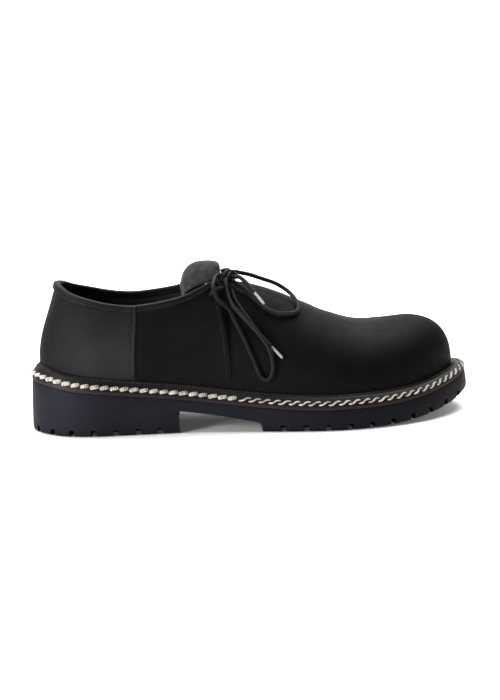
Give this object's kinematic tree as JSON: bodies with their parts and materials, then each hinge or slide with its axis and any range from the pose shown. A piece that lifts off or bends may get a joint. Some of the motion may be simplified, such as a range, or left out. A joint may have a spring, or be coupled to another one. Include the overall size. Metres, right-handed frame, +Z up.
{
  "type": "traditional low lace shoe",
  "caption": "Low black leather lace shoe with a round toe, a light sewn welt, a tied bow at the instep and a lugged rubber sole with a low heel.",
  "frame": {"origin": "on the floor, under the middle of the sole's length and width", "axes": "+X to the toe, +Y to the inner side of the foot, +Z up"},
  "size_m": [0.306, 0.1071, 0.1118],
  "materials": {
    "black_rubber": "moulded, matt",
    "welt_leather": "dark brown strip with light stitching",
    "black_leather": "fine grain, satin",
    "binding_tape": "folded edge, matt",
    "insole_lining": "smooth lining, matt",
    "tongue_suede": "rough side out",
    "lace_cord": "round waxed cord",
    "aglet_plastic": "light grey sleeve"
  },
  "bodies": {
    "root": {"outsole": "black_rubber", "welt": "welt_leather", "upper": "black_leather", "collar_binding": "binding_tape", "insole": "insole_lining", "tongue": "tongue_suede", "lace_bar_outer": "lace_cord", "lace_bar_inner": "lace_cord", "lace_knot": "lace_cord", "lace_loop_outer": "lace_cord", "lace_loop_inner": "lace_cord", "lace_end_outer": "lace_cord", "lace_end_inner": "lace_cord", "aglet_outer": "aglet_plastic", "aglet_inner": "aglet_plastic"}
  },
  "joints": []
}
